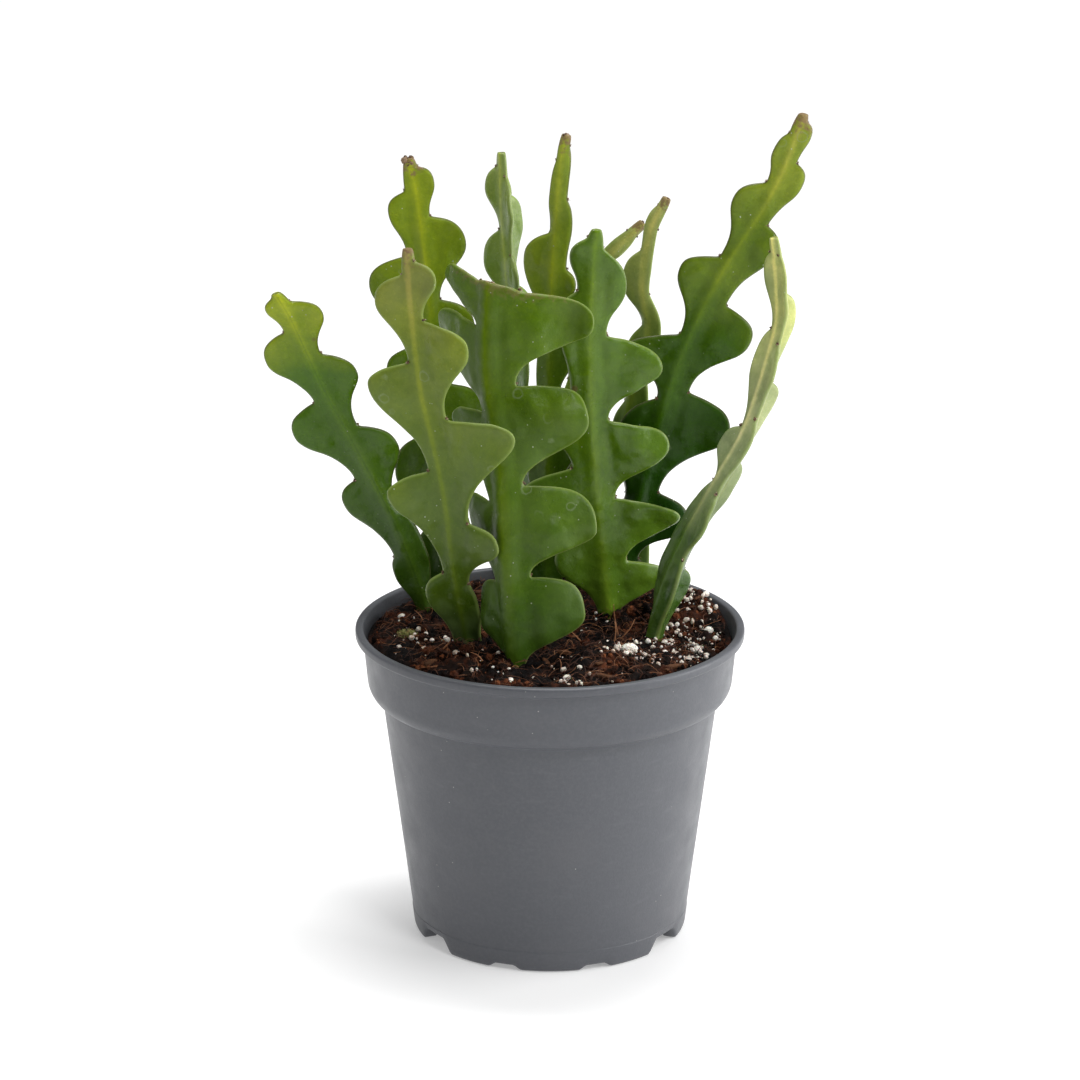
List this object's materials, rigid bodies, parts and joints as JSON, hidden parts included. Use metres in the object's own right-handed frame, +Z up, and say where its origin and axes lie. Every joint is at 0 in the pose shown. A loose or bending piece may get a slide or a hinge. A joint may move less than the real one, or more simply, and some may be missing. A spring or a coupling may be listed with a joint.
{
  "type": "potted fishbone cactus",
  "caption": "Fishbone cactus with flat, deeply saw-toothed upright stems growing from peat soil in a round tapered grey plastic grower's pot with a banded rim.",
  "frame": {"origin": "the middle of the underside of the pot's floor, in the plane that the pot stands on", "axes": "+Z is up along the pot's own axis; -Y is the front, the side that the picture shows; +X is to the right seen from the front"},
  "size_m": [0.1657, 0.12, 0.2551],
  "materials": {
    "pot_plastic": "satin moulded polypropylene, grey",
    "peat": "loose dark peat with fibres and crumbs",
    "stem_yellow_green": "waxy flesh, yellow-green towards the tip",
    "stem_pale_green": "waxy flesh, pale grey-green bloom",
    "stem_dark_green": "waxy flesh, deep green, soft gloss",
    "perlite": "white, rough, crumbly expanded glass",
    "bark": "reddish-brown fibrous bark",
    "moss": "yellow-green, soft and fine"
  },
  "bodies": {
    "root": {"pot": "pot_plastic", "soil": "peat", "stem_left_leaning": "stem_yellow_green", "stem_back_left": "stem_yellow_green", "stem_front_left": "stem_pale_green", "stem_front_centre": "stem_dark_green", "stem_centre_right": "stem_dark_green", "stem_back_slender": "stem_yellow_green", "stem_back_centre": "stem_yellow_green", "stem_back_thin": "stem_pale_green", "stem_back_curved": "stem_pale_green", "stem_right_tall": "stem_dark_green", "stem_right_pale": "stem_pale_green", "perlite_grain_1": "perlite", "perlite_grain_2": "perlite", "perlite_grain_3": "perlite", "perlite_grain_4": "perlite", "perlite_grain_5": "perlite", "perlite_grain_6": "perlite", "perlite_grain_7": "perlite", "perlite_grain_8": "perlite", "bark_chip_1": "bark", "bark_chip_2": "bark", "bark_chip_3": "bark", "bark_chip_4": "bark", "moss_tuft": "moss"}
  },
  "joints": []
}
